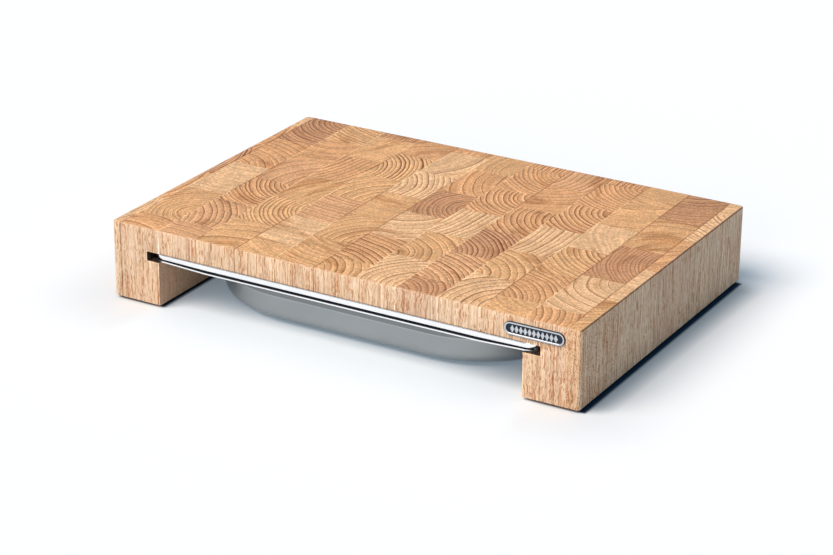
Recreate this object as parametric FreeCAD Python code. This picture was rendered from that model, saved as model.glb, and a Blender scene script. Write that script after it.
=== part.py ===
"""End-grain cutting board on two legs, with a pressed steel tray hung in slots between them.

Millimetres. +X runs left to right along the front, +Y runs from the front to the back, +Z is up.
The origin is on the worktop, under the middle of the board.
"""
import FreeCAD
import Part
import math
import os

V = FreeCAD.Vector
UP = V(0, 0, 1)
NOTHING = V(0, 0, 0)

# --- tray: one sheet of stainless steel, pressed ---
TRAY_WIDTH = 325.0          # over the rim, left to right
TRAY_DEPTH = 265.0          # over the rim, front to back
TRAY_HEIGHT = 40.0          # top of the rim to the underside of the well
SHEET = 0.8                 # steel thickness
RIM_ROLL_RADIUS = 3.3       # outside radius of the rolled edge
RIM_RETURN = 1.6            # flat lip that the roll ends in, turned back inwards
ROLL_FLATS = 3              # flats on the hidden inside of the roll
RIM_CORNER_RADIUS = 11.0    # rim corners, seen from above
FLANGE_WIDTH = 14.0         # rim edge to the mouth of the well, on the straight sides
WELL_CORNER_RADIUS = 85.0   # corners of the well's mouth, seen from above
WELL_DRAFT = 3.0            # lean of the well's walls, degrees
WELL_FLOOR_RADIUS = 9.0     # outside radius between wall and floor
FLARE = 2.5                 # bevel of the bend from flange to wall, on its underside

# --- board: blocks on end, glued up, trimmed and milled ---
DECK_THICKNESS = 18.4       # wood above the slots
SIDE_WALL = 31.0            # wood left outside each slot
LEDGE_LEFT = 10.3           # what the left leg reaches in under the tray's rim
LEDGE_RIGHT = 13.5          # the same at the right leg
STRIP_WIDTH = 33.8          # nominal width of one strip of blocks
LEAST_TRIM = 1.5            # a trimmed edge strip narrower than this isn't left on
DECK_BLOCK = 51.5           # length of a block along its strip, in the deck
LEG_BLOCK = 62.5            # the same in the legs
DECK_FIRST_JOINT = 26.5     # front face to the first glue joint of the deck's outer strips
LEG_FIRST_JOINT = 25.5      # the same for the legs' full strips
CORNER_RADIUS = 3.0         # upright corners
EDGE_EASE = 0.8             # bevel on the outer edges of the top and of the underside

# --- fits ---
SLOT_CLEARANCE = 0.3        # between the rim and the slot, above and below
SLOT_END_CLEARANCE = 1.5    # between the rim and the end of each slot
TRAY_INSET = 2.5            # rim behind the front face, and before the back face
TRAY_LIFT = 3.3             # worktop to the underside of the well
RECESS_CLEARANCE = 0.2      # foot in its recess, on the radius

# --- rubber feet, bonded into shallow recesses ---
FOOT_PROUD = 2.0            # foot below the wood
FOOT_SEAT = 2.0             # foot inside its recess
FOOT_RADIUS = 8.0
FOOT_INSET_SIDE = 22.0      # foot's axis to the side of the board
FOOT_INSET_END = 45.0       # foot's axis to the front or the back of the board

# --- badge plate on the front face ---
BADGE_LENGTH = 47.0
BADGE_HEIGHT = 10.0
BADGE_THICKNESS = 1.2
BADGE_BORDER = 1.1          # width of the raised border
BADGE_FIELD_DROP = 0.5      # field below the border
BADGE_FROM_RIGHT = 35.5     # badge's middle to the right-hand side of the board
BADGE_BELOW_TOP = 9.5       # badge's middle below the cutting surface

# --- worked out from the sizes above ---
RIM_HEIGHT = 2 * RIM_ROLL_RADIUS
BOARD_WIDTH = TRAY_WIDTH + 2 * (SLOT_END_CLEARANCE + SIDE_WALL)
BOARD_DEPTH = TRAY_DEPTH + 2 * TRAY_INSET
TRAY_TOP = TRAY_LIFT + TRAY_HEIGHT
SLOT_FLOOR = TRAY_TOP - RIM_HEIGHT - SLOT_CLEARANCE
DECK_UNDERSIDE = TRAY_TOP + SLOT_CLEARANCE
BOARD_TOP = DECK_UNDERSIDE + DECK_THICKNESS
SLOT_HALF_SPAN = BOARD_WIDTH / 2 - SIDE_WALL
LEG_FACE_LEFT = -SLOT_HALF_SPAN + LEDGE_LEFT
LEG_FACE_RIGHT = SLOT_HALF_SPAN - LEDGE_RIGHT
FOOT_HEIGHT = FOOT_PROUD + FOOT_SEAT


def box(x0, x1, y0, y1, z0, z1):
    """Box between two corners."""
    return Part.makeBox(x1 - x0, y1 - y0, z1 - z0, V(x0, y0, z0))


def rounded_outline(width, depth, radius, z):
    """Closed wire of a rectangle with round corners, centred on the Z axis."""
    hx = width / 2
    hy = depth / 2
    diagonal = radius * math.sqrt(0.5)
    edges = []
    for quarter in range(4):
        # Each quarter is one straight side and the corner that follows it, turned in steps of 90 degrees.
        a, b = (hx, hy) if quarter % 2 == 0 else (hy, hx)
        side = Part.LineSegment(V(a, -(b - radius), z), V(a, b - radius, z))
        corner = Part.Arc(
            V(a, b - radius, z),
            V(a - radius + diagonal, b - radius + diagonal, z),
            V(a - radius, b, z),
        )
        for curve in (side, corner):
            edge = curve.toShape()
            edge.rotate(NOTHING, UP, 90 * quarter)
            edges.append(edge)
    return Part.Wire(Part.__sortEdges__(edges))


def rounded_slab(width, depth, radius, z0, z1):
    """Upright prism on a rectangle with round corners."""
    face = Part.Face(rounded_outline(width, depth, radius, z0))
    return face.extrude(V(0, 0, z1 - z0))


def level_edges(solid, z, inside=None):
    """The edges that lie at height z, or only those inside a box round the Z axis (half sizes)."""
    level = []
    for edge in solid.Edges:
        reach = edge.BoundBox
        if abs(reach.ZMin - z) > 1e-4 or abs(reach.ZMax - z) > 1e-4:
            continue
        if inside is None or (reach.XMax < inside[0] and reach.YMax < inside[1]
                              and reach.XMin > -inside[0] and reach.YMin > -inside[1]):
            level.append(edge)
    return level


# ------------------------------------------------------------------ tray

def well_solid(shrink, floor_z, floor_radius):
    """The well's form up to the flange: leaning walls, round corners and a rounded floor edge.

    The same form, smaller by the sheet, is the space that the pressing leaves inside.
    """
    width = TRAY_WIDTH - 2 * (FLANGE_WIDTH + shrink)
    depth = TRAY_DEPTH - 2 * (FLANGE_WIDTH + shrink)
    radius = WELL_CORNER_RADIUS - shrink
    lean = (TRAY_TOP - floor_z) * math.tan(math.radians(WELL_DRAFT))
    mouth = rounded_outline(width, depth, radius, TRAY_TOP)
    floor = rounded_outline(width - 2 * lean, depth - 2 * lean, radius - lean, floor_z)
    solid = Part.makeLoft([floor, mouth], True, True)
    return solid.makeFillet(floor_radius, level_edges(solid, floor_z))


def rolled_rim():
    """The rolled edge: the sheet goes over, round and back in to a flat lip, along all four sides.

    The outside is a true half round. The hidden inside has ROLL_FLATS flats, to keep the mesh light.
    """
    outer = RIM_ROLL_RADIUS
    inner = outer - SHEET
    x = TRAY_WIDTH / 2 - outer
    z = TRAY_TOP - outer
    over = Part.Arc(V(x, 0, z + outer), V(x + outer, 0, z), V(x, 0, z - outer))
    lip = x - RIM_RETURN
    hollow = [V(x, 0, z - outer), V(lip, 0, z - outer), V(lip, 0, z - inner)]
    for i in range(ROLL_FLATS + 1):
        angle = math.radians(-90 + 180 * i / ROLL_FLATS)
        hollow.append(V(x + inner * math.cos(angle), 0, z + inner * math.sin(angle)))
    hollow.append(V(x, 0, z + outer))
    profile = Part.Wire([over.toShape()] + Part.makePolygon(hollow).Edges)
    path = rounded_outline(TRAY_WIDTH - 2 * outer, TRAY_DEPTH - 2 * outer, RIM_CORNER_RADIUS - outer, z)
    return path.makePipeShell([profile], True, False)


def drip_tray():
    """Well, flange and rolled rim as one sheet."""
    inset = 2 * RIM_ROLL_RADIUS
    flange = rounded_slab(
        TRAY_WIDTH - inset,
        TRAY_DEPTH - inset,
        RIM_CORNER_RADIUS - RIM_ROLL_RADIUS,
        TRAY_TOP - SHEET,
        TRAY_TOP,
    )
    outside = well_solid(0.0, TRAY_LIFT, WELL_FLOOR_RADIUS)
    inside = well_solid(SHEET, TRAY_LIFT + SHEET, WELL_FLOOR_RADIUS - SHEET)
    mouth = (TRAY_WIDTH / 2 - FLANGE_WIDTH + 1, TRAY_DEPTH / 2 - FLANGE_WIDTH + 1)
    body = flange.fuse(outside).removeSplitter()
    body = body.makeChamfer(FLARE, level_edges(body, TRAY_TOP - SHEET, mouth))
    body = body.cut(inside)
    # The upper bevel is wider by as much as keeps the sheet's thickness across both.
    upper = FLARE + SHEET * (2 - math.sqrt(2))
    body = body.makeChamfer(upper, level_edges(body, TRAY_TOP, mouth))
    return body.fuse(rolled_rim()).removeSplitter()


# ------------------------------------------------------------------ board

def foot_centres():
    """Name and place of each foot."""
    x = BOARD_WIDTH / 2 - FOOT_INSET_SIDE
    y = BOARD_DEPTH / 2 - FOOT_INSET_END
    return {
        "front_left": (-x, -y),
        "front_right": (x, -y),
        "back_left": (-x, y),
        "back_right": (x, y),
    }


def milled_board():
    """The whole glued-up board after trimming: deck, two legs, tray slots and the seats of the feet."""
    wood = rounded_slab(BOARD_WIDTH, BOARD_DEPTH, CORNER_RADIUS, FOOT_PROUD, BOARD_TOP)
    for level in (BOARD_TOP, FOOT_PROUD):
        wood = wood.makeChamfer(EDGE_EASE, level_edges(wood, level))
    past = BOARD_DEPTH
    tunnel = box(LEG_FACE_LEFT, LEG_FACE_RIGHT, -past, past, FOOT_PROUD - 1, DECK_UNDERSIDE)
    slots = box(-SLOT_HALF_SPAN, SLOT_HALF_SPAN, -past, past, SLOT_FLOOR, DECK_UNDERSIDE)
    wood = wood.cut(tunnel.fuse(slots))
    recess = FOOT_RADIUS + RECESS_CLEARANCE
    for x, y in foot_centres().values():
        wood = wood.cut(Part.makeCylinder(recess, FOOT_HEIGHT, V(x, y, 0)))
    return wood


def strip_layout():
    """Each strip as (left side, right side, first joint, block length), left to right.

    The deck's strips share its width evenly. A leg takes as many whole strips of that width as fit,
    from its inner face outwards, and the last one is what the trimming leaves. The bond is a
    brick bond: every second strip starts half a block later.
    """
    count = max(1, round((LEG_FACE_RIGHT - LEG_FACE_LEFT) / STRIP_WIDTH))
    pitch = (LEG_FACE_RIGHT - LEG_FACE_LEFT) / count
    layout = []
    for row in range(count):
        x0 = LEG_FACE_LEFT + pitch * row
        first = DECK_FIRST_JOINT + row % 2 * DECK_BLOCK / 2
        layout.append((x0, x0 + pitch, first, DECK_BLOCK))
    side = BOARD_WIDTH / 2
    for hand, face in ((-1, LEG_FACE_LEFT), (1, LEG_FACE_RIGHT)):
        whole = int((side - abs(face) - LEAST_TRIM) / pitch)
        for row in range(whole + 1):
            inner = abs(face) + pitch * row
            outer = inner + pitch if row < whole else side
            x0, x1 = sorted((hand * inner, hand * outer))
            first = LEG_FIRST_JOINT + row % 2 * LEG_BLOCK / 2
            layout.append((x0, x1, first, LEG_BLOCK))
    return sorted(layout)


def strip_blocks(wood, x0, x1, first_joint, block_length):
    """The blocks of one strip, each a solid of its own, cut from the milled board."""
    front = -BOARD_DEPTH / 2
    joints = [front]
    y = front + first_joint
    while y < BOARD_DEPTH / 2 - LEAST_TRIM:
        joints.append(y)
        y += block_length
    joints.append(BOARD_DEPTH / 2)
    blocks = []
    for y0, y1 in zip(joints, joints[1:]):
        blocks.extend(wood.common(box(x0, x1, y0, y1, 0, BOARD_TOP + 1)).Solids)
    return Part.makeCompound(blocks)


# ------------------------------------------------------------------ badge and feet

def stadium(length, height, z0, z1):
    """Prism on two straight sides with a half round at each end, centred on the Z axis."""
    radius = height / 2
    x = length / 2 - radius
    outline = Part.Wire([
        Part.makeLine(V(-x, -radius, z0), V(x, -radius, z0)),
        Part.Arc(V(x, -radius, z0), V(x + radius, 0, z0), V(x, radius, z0)).toShape(),
        Part.makeLine(V(x, radius, z0), V(-x, radius, z0)),
        Part.Arc(V(-x, radius, z0), V(-x - radius, 0, z0), V(-x, -radius, z0)).toShape(),
    ])
    return Part.Face(outline).extrude(V(0, 0, z1 - z0))


def badge_plate():
    """Plate with a raised border round a bare field, flat against the front face."""
    border = 2 * BADGE_BORDER
    field_level = BADGE_THICKNESS - BADGE_FIELD_DROP
    plate = stadium(BADGE_LENGTH, BADGE_HEIGHT, 0, BADGE_THICKNESS)
    plate = plate.cut(stadium(BADGE_LENGTH - border, BADGE_HEIGHT - border, field_level, BADGE_THICKNESS + 1))
    plate.rotate(NOTHING, V(1, 0, 0), 90)
    plate.translate(V(BOARD_WIDTH / 2 - BADGE_FROM_RIGHT, -BOARD_DEPTH / 2, BOARD_TOP - BADGE_BELOW_TOP))
    return plate


def main():
    os.makedirs("parts", exist_ok=True)
    wood = milled_board()
    nodes = {}
    for number, strip in enumerate(strip_layout(), start=1):
        nodes[f"end_grain_strip_{number:02d}"] = strip_blocks(wood, *strip)
    nodes["drip_tray"] = drip_tray()
    nodes["badge_plate"] = badge_plate()
    for place, (x, y) in foot_centres().items():
        nodes[f"rubber_foot_{place}"] = Part.makeCylinder(FOOT_RADIUS, FOOT_HEIGHT, V(x, y, 0))
    for name, shape in nodes.items():
        shape.exportStep(f"parts/{name}.step")
        print(name, len(shape.Solids), "solids", round(shape.Volume), "mm3", shape.isValid())
    print("board", BOARD_WIDTH, "x", BOARD_DEPTH, "x", BOARD_TOP, "mm on its feet")


main()
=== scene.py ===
# %% [markdown]
# # End-grain cutting board with a drip tray
# The object is a butcher's block in small: short blocks of wood stand on end, glued into strips, and
# the strips form a board on two legs. Slots between the legs carry a pressed steel tray. The packed
# model holds every part at its true size. This lesson dresses it: new pieces take the places of the
# plain ones, and each surface gets its finish.

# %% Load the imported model
import math
import random

import bmesh
import bpy
from mathutils import Matrix, Vector


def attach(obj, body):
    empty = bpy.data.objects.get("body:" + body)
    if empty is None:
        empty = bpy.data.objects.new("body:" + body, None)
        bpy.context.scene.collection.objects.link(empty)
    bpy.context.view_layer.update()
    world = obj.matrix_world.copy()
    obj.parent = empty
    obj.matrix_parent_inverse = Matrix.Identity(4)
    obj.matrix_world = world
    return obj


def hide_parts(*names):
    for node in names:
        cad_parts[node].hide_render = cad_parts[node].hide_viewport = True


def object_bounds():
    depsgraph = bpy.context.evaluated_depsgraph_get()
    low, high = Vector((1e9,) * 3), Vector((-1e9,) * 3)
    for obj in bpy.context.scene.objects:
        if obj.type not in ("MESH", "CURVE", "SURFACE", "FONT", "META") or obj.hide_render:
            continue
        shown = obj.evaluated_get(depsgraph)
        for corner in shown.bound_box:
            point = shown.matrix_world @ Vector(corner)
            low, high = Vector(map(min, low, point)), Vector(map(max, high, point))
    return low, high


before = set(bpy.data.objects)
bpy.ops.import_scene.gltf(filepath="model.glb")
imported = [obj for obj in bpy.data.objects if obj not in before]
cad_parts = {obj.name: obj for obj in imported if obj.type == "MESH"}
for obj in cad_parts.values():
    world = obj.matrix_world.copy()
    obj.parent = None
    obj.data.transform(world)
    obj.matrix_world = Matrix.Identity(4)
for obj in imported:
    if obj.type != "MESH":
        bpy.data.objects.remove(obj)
CAD_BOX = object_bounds()
MM = 0.001

# %% [markdown]
# ## The camera
# A product picture is taken from about two metres with a long lens, so that edges stay almost
# parallel. The camera is placed by its direction, its distance and the point that it looks at.

# %% Set up the camera
VIEW_AZIMUTH = 30.15        # degrees to the right of straight ahead
VIEW_ELEVATION = 23.02      # degrees above the worktop
VIEW_ROLL = 0.37            # degrees
VIEW_DISTANCE = 1.9826
VIEW_TARGET = Vector((-0.01207, 0.0, 0.00692))
FOCAL_LENGTH = 113.06       # mm, on a sensor 36 mm wide

az, el, roll = (math.radians(angle) for angle in (VIEW_AZIMUTH, VIEW_ELEVATION, VIEW_ROLL))
level = Vector((math.cos(az), math.sin(az), 0))
back = Vector((math.sin(az) * math.cos(el), -math.cos(az) * math.cos(el), math.sin(el)))
right = level * math.cos(roll) + back.cross(level) * math.sin(roll)
lens = bpy.data.cameras.new("product_camera")
lens.lens = FOCAL_LENGTH
lens.sensor_width = 36
lens.clip_end = 50
camera = bpy.data.objects.new("product_camera", lens)
bpy.context.scene.collection.objects.link(camera)
place = Matrix((right, back.cross(right), back)).transposed().to_4x4()
place.translation = VIEW_TARGET + back * VIEW_DISTANCE
camera.matrix_world = place
bpy.context.scene.camera = camera
print("camera at", [round(c, 3) for c in camera.location])

# %% [markdown]
# ## Small helpers
# Most pieces begin as one primitive that is shaped in edit mode. An operator acts on whatever is
# selected, so everything is deselected before a piece is added or shaped.

# %% Helpers for a new piece
scene = bpy.context.scene


def take(piece):
    """Make piece the only selected object, and the active one."""
    if bpy.context.object and bpy.context.object.mode != "OBJECT":
        bpy.ops.object.mode_set(mode="OBJECT")
    bpy.ops.object.select_all(action="DESELECT")
    piece.select_set(True)
    bpy.context.view_layer.objects.active = piece


def settle(name):
    """Name the new active object and put its place and size into its mesh."""
    piece = bpy.context.object
    piece.name = piece.data.name = name
    take(piece)
    bpy.ops.object.transform_apply(location=True, rotation=True, scale=True)
    return piece


# %% [markdown]
# ## Finishes as nodes
# A material is a little network. Here a network is written almost as a sum: what a node gives is a
# Value, and adding or multiplying Values adds Math nodes. The same helpers serve the room round the
# board, which has a network of its own.

# %% Colours from a colour picker
def linear(red, green, blue):
    """Scene colour from the 0 to 255 numbers of a colour picker."""
    def one(v):
        v /= 255
        return v / 12.92 if v <= 0.04045 else ((v + 0.055) / 1.055) ** 2.4
    return (one(red), one(green), one(blue), 1)


# %% What a node gives
class Value:
    """What a node gives. Arithmetic on it adds nodes to its network."""

    def __init__(self, network, socket):
        self.network, self.socket = network, socket

    def __add__(self, other):
        return self.network.math("ADD", self, other)

    def __sub__(self, other):
        return self.network.math("SUBTRACT", self, other)

    def __rsub__(self, other):
        return self.network.math("SUBTRACT", other, self)

    def __mul__(self, other):
        return self.network.math("MULTIPLY", self, other)

    def __truediv__(self, other):
        return self.network.math("DIVIDE", self, other)

    def __abs__(self):
        return self.network.math("ABSOLUTE", self)

    def ramp(self, low, high, start=0.0, end=1.0, kind="LINEAR"):
        """From start to end while this goes from low to high, and level on both sides."""
        return self.network.add("MapRange", {"Value": self, "From Min": low, "From Max": high,
                                             "To Min": start, "To Max": end}, interpolation_type=kind)

    def ease(self, low, high, start=0.0, end=1.0):
        """A ramp with soft ends."""
        return self.ramp(low, high, start, end, "SMOOTHSTEP")

    def fade(self, low, high, start=1.0, end=0.0):
        return self.ease(low, high, start, end)

    def band(self, low, high, soft):
        """One between low and high, falling to nothing over a soft width on each side."""
        return self.ease(low - soft, low) * self.fade(high, high + soft)

    def spread(self, low, high):
        """A noise, which mostly lies between 0.3 and 0.7, as a factor between low and high."""
        return self.ramp(0.3, 0.7, low, high)


def largest(first, *others):
    for other in others:
        first = first.network.math("MAXIMUM", first, other)
    return first


def smallest(first, other):
    return first.network.math("MINIMUM", first, other)


# %% A network, and a finish
class Network:
    """A node tree, and short ways to add nodes to it."""

    def __init__(self, tree):
        self.tree = tree

    def feed(self, socket, value):
        """Link a socket to a Value, or give it a plain number or colour."""
        if isinstance(value, Value):
            self.tree.links.new(value.socket, socket)
        else:
            socket.default_value = value

    def node(self, kind, inputs=(), **settings):
        node = self.tree.nodes.new("ShaderNode" + kind)
        for name, value in settings.items():
            setattr(node, name, value)
        for socket, value in dict(inputs).items():
            self.feed(node.inputs[socket], value)
        return node

    def add(self, kind, inputs=(), output=0, **settings):
        """Add a node, and hand back what it gives."""
        return Value(self, self.node(kind, inputs, **settings).outputs[output])

    def math(self, operation, *values):
        return self.add("Math", enumerate(values), operation=operation)

    def vector(self, operation, *values):
        output = "Value" if operation in ("LENGTH", "DOT_PRODUCT") else "Vector"
        return self.add("VectorMath", enumerate(values), output, operation=operation)

    def millimetres(self):
        """Object coordinates in millimetres."""
        return self.vector("MULTIPLY", self.add("TexCoord", output="Object"), (1000, 1000, 1000))

    def normal(self):
        return self.add("TexCoord", output="Normal")

    def split(self, vector):
        parts = self.node("SeparateXYZ", {0: vector}).outputs
        return [Value(self, part) for part in parts]

    def join(self, x, y, z):
        return self.add("CombineXYZ", {0: x, 1: y, 2: z})

    def noise(self, where, scale, detail=2.0, roughness=0.5):
        return self.add("TexNoise", {"Vector": where, "Scale": scale, "Detail": detail,
                                     "Roughness": roughness})

    def mix(self, share, a, b, blend="MIX"):
        return self.add("Mix", {0: share, 6: a, 7: b}, 2, data_type="RGBA", blend_type=blend)

    def attribute(self, name, output="Vector"):
        """The first three numbers of an attribute, and the fourth."""
        outputs = self.node("Attribute", attribute_name=name).outputs
        return Value(self, outputs[output]), Value(self, outputs["Alpha"])

    def in_sight(self):
        """One for what the camera or a reflection sees, nothing for what lights other things."""
        rays = self.node("LightPath").outputs
        camera, glossy, through = (Value(self, rays[f"Is {kind} Ray"])
                                   for kind in ("Camera", "Glossy", "Transmission"))
        return smallest(camera + glossy + through, 1.0)


class Finish(Network):
    """A material: a Principled shader with the network that feeds it."""

    def __init__(self, name):
        self.material = bpy.data.materials.new(name)
        self.material.use_nodes = True
        super().__init__(self.material.node_tree)
        self.tree.nodes.clear()
        self.shader = self.node("BsdfPrincipled")
        self.tree.links.new(self.shader.outputs[0], self.node("OutputMaterial").inputs[0])

    def surface(self, sockets, bump=None):
        """Feed the shader, and bump it by a height, a strength and a distance in metres."""
        for name, value in sockets.items():
            self.feed(self.shader.inputs[name], value)
        if bump:
            relief = self.add("Bump", zip(("Height", "Strength", "Distance"), bump))
            self.feed(self.shader.inputs["Normal"], relief)
        return self.material


# %% [markdown]
# ## The floor
# The board stands on a white floor. Right under the legs it is almost black, a soft shade lies round
# the front and the right side, and the steel throws light back under the deck. The finish of the
# floor paints these: a painted shadow under the legs, painted shade round the board, and painted light
# under the deck. Its glow is there for the camera and for reflections alone, so it puts no more
# light on the board.

# %% Lay the floor
FLOOR_WHITE = (0.985, 0.965, 0.955, 1)      # the floor as the camera and reflections see it
FLOOR_BOUNCE = (0.50, 0.565, 0.64, 1)       # what it throws back at the object
DECK_BOUNCE = (0.90, 0.95, 1.0, 1)          # the same, from under the deck
LEG_SHADOW = (0.012, 0.035, 0.07, 1)         # painted shadow, right under the legs
SHADE = (0.18, 0.26, 0.31, 1)               # where the board keeps the light of the room off
GLOW_COLOUR = (0.7, 1.0, 1.25, 1)
FLOOR_GLOW = 0.03
DECK_GLOW = 0.09                            # more of it under the deck
# Where each of them begins and ends, in millimetres from the middle of the board.
GLOW_SIDES, GLOW_ENDS = (148, 170), (135, 235)
LEG_SHADOW_INSIDE, LEG_SHADOW_LEFT = (149.5, 154.5), (-194, -190)
LEG_SHADOW_RIGHT, LEG_SHADOW_ENDS = (196.5, 199.8), (130, 133.5)
SHADE_START, SHADE_RIGHT, SHADE_ENDS = (185, 190), (198, 224), (115, 142)
SHADE_CORE, SHADE_REACH, SHADE_FADE = (190, 130), 90, (-30, 150)

bpy.ops.object.select_all(action="DESELECT")
bpy.ops.mesh.primitive_plane_add(size=40)
floor = settle("white_floor")
cover = Finish("white_floor")
floor_x, floor_y, _ = cover.split(cover.millimetres())
off_x, off_y = abs(floor_x), abs(floor_y)
under_deck = off_x.fade(*GLOW_SIDES) * off_y.fade(*GLOW_ENDS)
# painted shadow: the floor right under the legs is painted nearly black
leg_shadow = off_x.ease(*LEG_SHADOW_INSIDE) * floor_x.ease(*LEG_SHADOW_LEFT) * floor_x.fade(*LEG_SHADOW_RIGHT)
leg_shadow = leg_shadow * off_y.fade(*LEG_SHADOW_ENDS)
beside_leg = floor_x.ease(*SHADE_START) * floor_x.fade(*SHADE_RIGHT, 0.66) * off_y.fade(*SHADE_ENDS)
outside_x, outside_y = (largest(off - core, 0.0) for off, core in zip((off_x, off_y), SHADE_CORE))
from_board = cover.vector("LENGTH", cover.join(outside_x, outside_y, 0.0))
round_board = from_board.fade(0.0, SHADE_REACH, 0.20) * floor_y.fade(*SHADE_FADE, 1.0, 0.1)

seen = cover.in_sight()
seen_tone = cover.mix(largest(beside_leg, round_board), FLOOR_WHITE, SHADE)
tone = cover.mix(seen, cover.mix(under_deck, FLOOR_BOUNCE, DECK_BOUNCE), seen_tone)
glow = (under_deck * DECK_GLOW + FLOOR_GLOW) * seen * (1.0 - leg_shadow)
floor.data.materials.append(cover.surface({
    "Base Color": cover.mix(leg_shadow, tone, LEG_SHADOW), "Roughness": 0.9, "Specular IOR Level": 0,
    "Emission Color": GLOW_COLOUR, "Emission Strength": glow}))
print("floor finish nodes:", len(cover.tree.nodes))

# %% [markdown]
# ## The light
# One large soft lamp hangs high in front, a little to the left, and a faint one low in front. Sun
# lamps with a wide angle give such an even light. The room fills the shadows with a little blue, and
# is white where the camera or the steel sees it. Together they add up to about one on a level
# surface, so a colour renders as it is written.

# %% Light the room and hang the lamps
ROOM_FILL = (0.265, 0.355, 0.45, 1)
LAMPS = {       # direction to the lamp, share of the light on a level surface, colour, spread in degrees
    "key_lamp": ((-0.33, -0.53, 0.82), 0.67, (1.0, 0.93, 0.85), 40),
    "front_lamp": ((0.05, -0.96, 0.28), 0.05, (1.0, 0.97, 0.94), 30),
}

scene.view_settings.view_transform = "Standard"
world = bpy.data.worlds.new("white_room")
scene.world = world
world.use_nodes = True
room = Network(world.node_tree)
room_colour = room.mix(room.in_sight(), ROOM_FILL, (1, 1, 1, 1))
room.feed(world.node_tree.nodes["Background"].inputs["Color"], room_colour)

for name, (direction, share, colour, spread_angle) in LAMPS.items():
    direction = Vector(direction).normalized()
    light = bpy.data.lights.new(name, "SUN")
    light.energy = share * math.pi / direction.z
    light.color = colour
    light.angle = math.radians(spread_angle)
    lamp = bpy.data.objects.new(name, light)
    scene.collection.objects.link(lamp)
    lamp.rotation_euler = direction.to_track_quat("Z", "Y").to_euler()
    print(name, "energy", round(light.energy, 2))

# %% [markdown]
# ## A dark ring for the steel to mirror
# Polished steel shows what stands round it, and in an all white room its round edges vanish. So
# black cloth stands low round the table: the steel then has a crisp dark line between the bright
# room above and the white table below. This ring is hidden from the camera and casts no shadow, so
# only reflections see it.

# %% Stand up the dark ring
def new_cylinder(name, radius, height, middle=(0, 0, 0), vertices=48, **settings):
    """An upright cylinder primitive round its middle, in millimetres."""
    bpy.ops.object.select_all(action="DESELECT")
    bpy.ops.mesh.primitive_cylinder_add(vertices=vertices, radius=radius * MM, depth=height * MM,
                                        location=Vector(middle) * MM, **settings)
    return settle(name)


RING_RADIUS = 3000.0
RING_TOP_ANGLE = math.radians(13)   # how high it stands, seen from the board
CLOTH_BLACK = (0.004, 0.005, 0.007, 1)

ring_height = RING_RADIUS * math.tan(RING_TOP_ANGLE)
dark_ring = new_cylinder("dark_ring", RING_RADIUS, ring_height, (0, 0, ring_height / 2), 64,
                         end_fill_type="NOTHING")
cloth = Finish("black_cloth")
cloth.surface({"Base Color": CLOTH_BLACK, "Roughness": 1.0, "Specular IOR Level": 0.0})
dark_ring.data.materials.append(cloth.material)
for ray in ("camera", "diffuse", "shadow", "transmission"):
    setattr(dark_ring, f"visible_{ray}", False)
print("ring height", round(ring_height), "mm")

# %% [markdown]
# ## The board, milled as one
# The workshop mills the board after it is glued up, so its corners, eased edges and tray slots run
# through the blocks without a step. The model does the same: a cube is beveled, and the room for the
# tray is cut out of it with a T-shaped cutter. Edges and faces are picked by where they lie, as one
# would pick them by eye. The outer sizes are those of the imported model, in millimetres.

# %% Helpers for picking and cutting
def new_box(name, low, high):
    """A cube primitive stretched between two corners, in millimetres."""
    low, high = Vector(low) * MM, Vector(high) * MM
    bpy.ops.object.select_all(action="DESELECT")
    bpy.ops.mesh.primitive_cube_add(size=1, location=(low + high) / 2)
    bpy.context.object.scale = high - low
    return settle(name)


def pick(piece, kind, test):
    """In edit mode, select only the verts, edges or faces whose middle and direction pass the test."""
    take(piece)
    bpy.ops.object.mode_set(mode="EDIT")
    bpy.ops.mesh.select_mode(type={"verts": "VERT", "edges": "EDGE", "faces": "FACE"}[kind])
    bpy.ops.mesh.select_all(action="DESELECT")
    mesh = bmesh.from_edit_mesh(piece.data)
    found = 0
    for part in getattr(mesh, kind):
        corners = [part.co] if kind == "verts" else [v.co for v in part.verts]
        middle = sum(corners, Vector()) / len(corners) / MM
        direction = (corners[1] - corners[0]).normalized() if kind == "edges" else part.normal
        if test(middle, direction):
            part.select_set(True)
            found += 1
    bmesh.update_edit_mesh(piece.data)
    return found


def done():
    """Leave edit mode."""
    bpy.ops.object.mode_set(mode="OBJECT")


def extrude(x, y, z):
    """Extrude what is selected by an offset in millimetres."""
    bpy.ops.mesh.extrude_region_move(TRANSFORM_OT_translate={"value": (x * MM, y * MM, z * MM)})


def apply_boolean(piece, other, operation):
    """Cut piece with another mesh, or keep only what the two share."""
    take(piece)
    modifier = piece.modifiers.new("cut", "BOOLEAN")
    modifier.operation = operation
    modifier.solver = "EXACT"
    modifier.object = other
    bpy.ops.object.modifier_apply(modifier=modifier.name)


def drop(piece):
    """Remove a helper object and its mesh."""
    mesh = piece.data
    bpy.data.objects.remove(piece)
    bpy.data.meshes.remove(mesh)


# %% Model the milled board
HALF_WIDTH, HALF_DEPTH, BOARD_TOP = (round(side / MM, 3) for side in CAD_BOX[1])
WOOD_BOTTOM = 2.0           # the feet lift the wood off the floor
DECK_UNDERSIDE = 43.6
SLOT_FLOOR = 36.4
SLOT_END = 164.0
LEG_FACES = (-153.7, 150.5)
CORNER_RADIUS = 3.0
EDGE_EASE = 1.0
CUTTER_REACH = 200.0        # half length of the cutter, which comes out at the front and the back
HAIR = 0.01                 # places that differ less are taken as the same

board = new_box("milled_board", (-HALF_WIDTH, -HALF_DEPTH, WOOD_BOTTOM),
                (HALF_WIDTH, HALF_DEPTH, BOARD_TOP))
pick(board, "edges", lambda at, way: abs(way.z) > 0.9)
bpy.ops.mesh.bevel(offset=CORNER_RADIUS * MM, segments=6, affect="EDGES")
pick(board, "edges", lambda at, way: at.z < WOOD_BOTTOM + HAIR or at.z > BOARD_TOP - HAIR)
bpy.ops.mesh.bevel(offset=EDGE_EASE * MM, segments=3, affect="EDGES")
done()

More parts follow.
